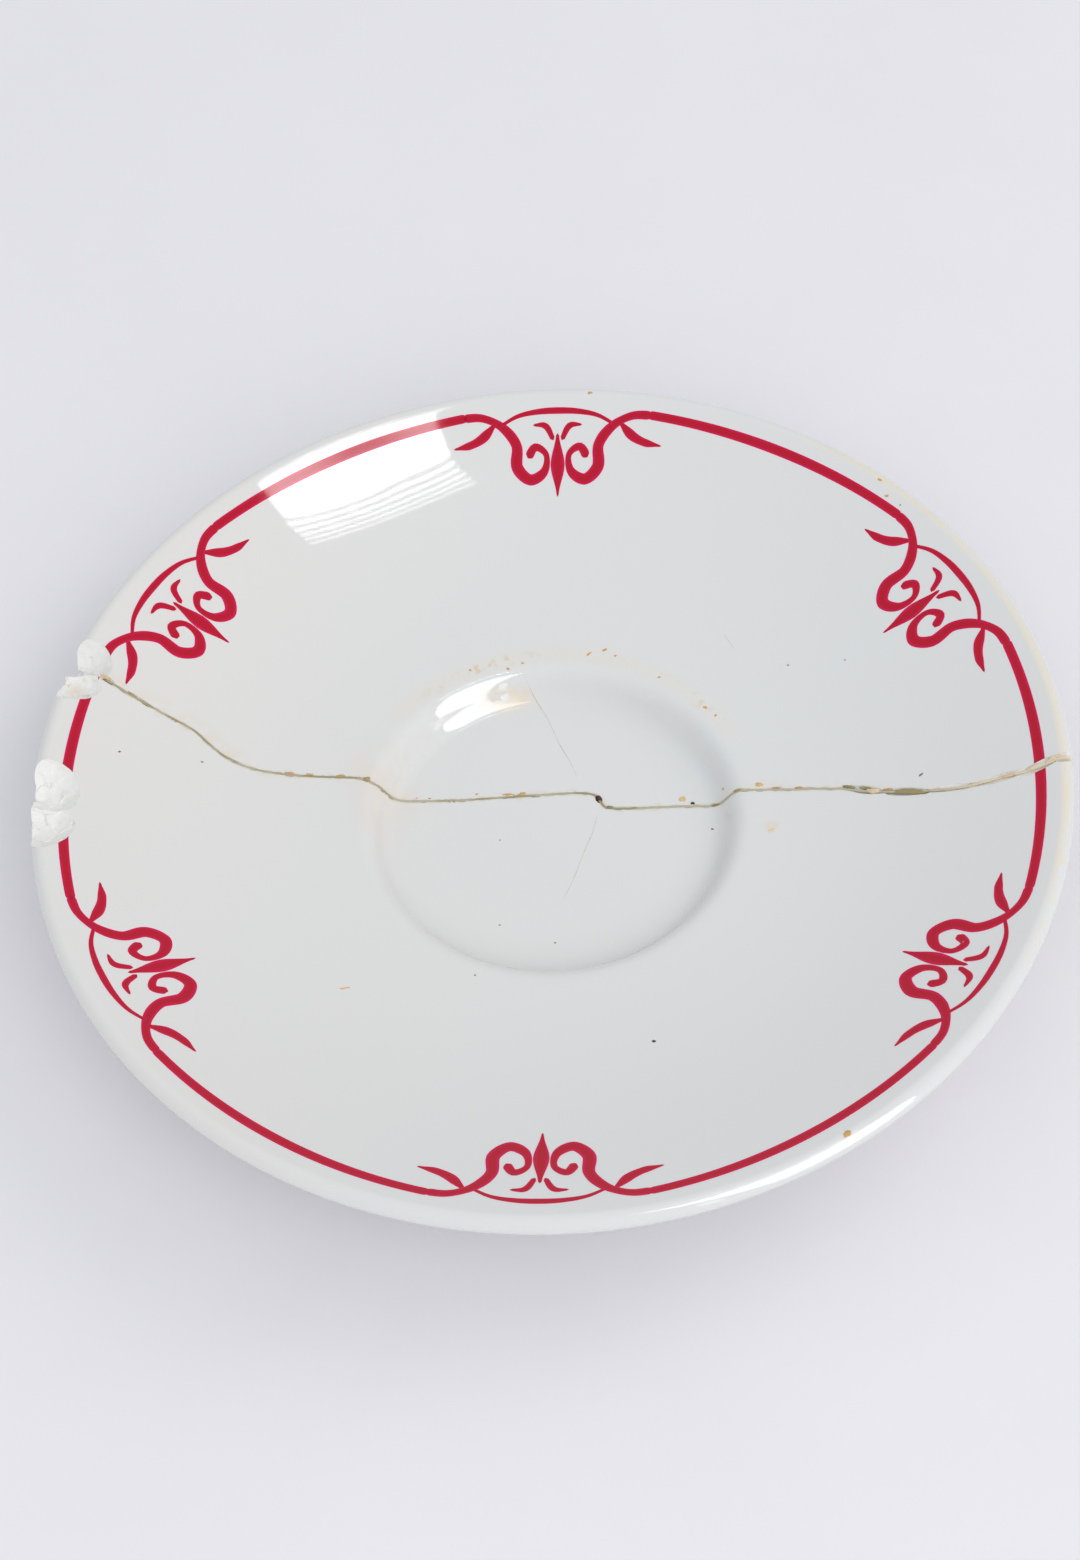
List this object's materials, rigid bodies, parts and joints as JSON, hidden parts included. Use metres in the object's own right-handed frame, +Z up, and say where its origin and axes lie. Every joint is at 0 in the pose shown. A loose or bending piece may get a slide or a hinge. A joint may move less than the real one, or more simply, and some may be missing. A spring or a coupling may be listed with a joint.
{
  "type": "broken saucer",
  "caption": "Round glazed saucer with a recessed cup well and foot ring, broken right across into two fitted shards, with chips out of its rim.",
  "frame": {"origin": "centre of the foot ring, on the surface that the saucer stands on", "axes": "+Z up along the saucer's axis, +X to the right along the break, -Y to the front"},
  "size_m": [0.15, 0.15, 0.0223],
  "materials": {
    "back_porcelain": "gloss",
    "front_porcelain": "gloss"
  },
  "bodies": {
    "root": {"shard_back": "back_porcelain", "shard_front": "front_porcelain"}
  },
  "joints": []
}
